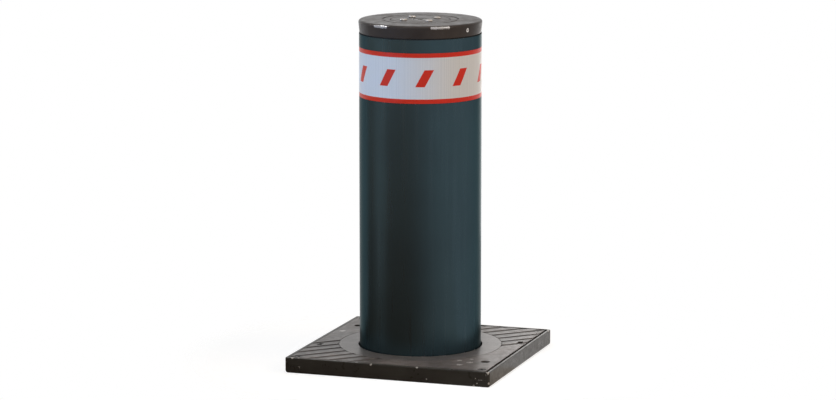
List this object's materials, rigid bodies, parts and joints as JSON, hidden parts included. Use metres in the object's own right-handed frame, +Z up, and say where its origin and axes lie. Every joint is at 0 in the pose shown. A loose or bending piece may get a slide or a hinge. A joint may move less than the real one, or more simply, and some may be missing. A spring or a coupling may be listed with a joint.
{
  "type": "retractable bollard",
  "caption": "Round steel bollard post with a cast cap and reflective band, lifted by gas springs out of a buried casing under a square cover plate, with a key lock in the cap.",
  "frame": {"origin": "middle of the ground frame's underside, on the post's axis, at the level that the frame is bedded on", "axes": "+Z up along the post's travel; X and Y along the sides of the square ground frame, with the front towards -Y"},
  "size_m": [0.3808, 0.3808, 1.4041],
  "materials": {
    "post_paint": "satin dark blue-grey powder coat",
    "band_film": "silver-white reflective film with red edges",
    "cap_cast": "dark grey painted casting, semi-gloss",
    "plate_cast": "dark grey painted casting with worn edges",
    "ring_steel": "turned steel, darkened",
    "frame_steel": "dark grey paint, chipped at the edges",
    "rubber": "matt black",
    "screw_steel": "bright steel",
    "zinc_steel": "hot-dip galvanised, spangled",
    "guide_plastic": "natural polyamide",
    "black_steel": "black paint, satin",
    "bright_steel": "ground and chromed",
    "key_steel": "turned steel, darkened by handling"
  },
  "bodies": {
    "housing": {"casing_tube": "zinc_steel", "casing_flange": "zinc_steel", "casing_base": "zinc_steel", "drain_stub": "zinc_steel", "anchor_bar_1": "zinc_steel", "anchor_bar_2": "zinc_steel", "anchor_bar_3": "zinc_steel", "anchor_bar_4": "zinc_steel", "frame_front": "frame_steel", "frame_back": "frame_steel", "frame_left": "frame_steel", "frame_right": "frame_steel", "cover_plate": "plate_cast", "cover_screw_1": "screw_steel", "cover_screw_2": "screw_steel", "cover_screw_3": "screw_steel", "cover_screw_4": "screw_steel", "collar_ring": "ring_steel", "wiper_seal": "rubber", "guide_bush": "guide_plastic", "stop_ring": "black_steel", "guide_rail": "zinc_steel", "bump_stop_1": "rubber", "bump_stop_2": "rubber", "bump_stop_3": "rubber", "spring_barrel_left": "black_steel", "spring_gland_left": "zinc_steel", "spring_clevis_left": "zinc_steel", "spring_pin_left": "bright_steel", "spring_barrel_right": "black_steel", "spring_gland_right": "zinc_steel", "spring_clevis_right": "zinc_steel", "spring_pin_right": "bright_steel"},
    "post": {"post_tube": "post_paint", "reflective_band": "band_film", "cap": "cap_cast", "cap_gasket": "rubber", "cap_screw_1": "screw_steel", "cap_screw_2": "screw_steel", "head_plate": "black_steel", "lock_cover": "cap_cast", "lock_cover_screw_1": "screw_steel", "lock_cover_screw_2": "screw_steel", "lock_cover_screw_3": "screw_steel", "lock_cover_screw_4": "screw_steel", "stop_buffer": "rubber", "foot_guide": "guide_plastic", "lock_carrier": "black_steel", "bolt_guide_front": "zinc_steel", "bolt_guide_rear": "zinc_steel", "spring_rod_left": "bright_steel", "rod_nut_left": "zinc_steel", "spring_rod_right": "bright_steel", "rod_nut_right": "zinc_steel"},
    "key": {"key_rotor": "key_steel", "lock_spindle": "bright_steel"},
    "front_bolt": {"lock_bolt_front": "bright_steel"},
    "rear_bolt": {"lock_bolt_rear": "bright_steel"}
  },
  "joints": [
    {"name": "post_slide", "type": "slide", "parent": "housing", "child": "post", "axis": [0, 0, 1], "range_m": [-0.59, 0], "stiffness_N_per_m": 170, "springref_m": 3.2},
    {"name": "rear_bolt_slide", "type": "slide", "parent": "post", "child": "rear_bolt", "axis": [0, 1, 0], "range_m": [0, 0.01649]},
    {"name": "key_turn", "type": "hinge", "parent": "post", "child": "key", "pos_m": [0, 0, 0.6], "axis": [0, 0, 1], "range_deg": [0, 90]},
    {"name": "front_bolt_slide", "type": "slide", "parent": "post", "child": "front_bolt", "axis": [0, -1, 0], "range_m": [0, 0.01649]}
  ],
  "couplings": [
    {"joint": "key_turn", "follows": "rear_bolt_slide", "rad_per_m": 95.238},
    {"joint": "front_bolt_slide", "follows": "rear_bolt_slide", "ratio": 1}
  ]
}
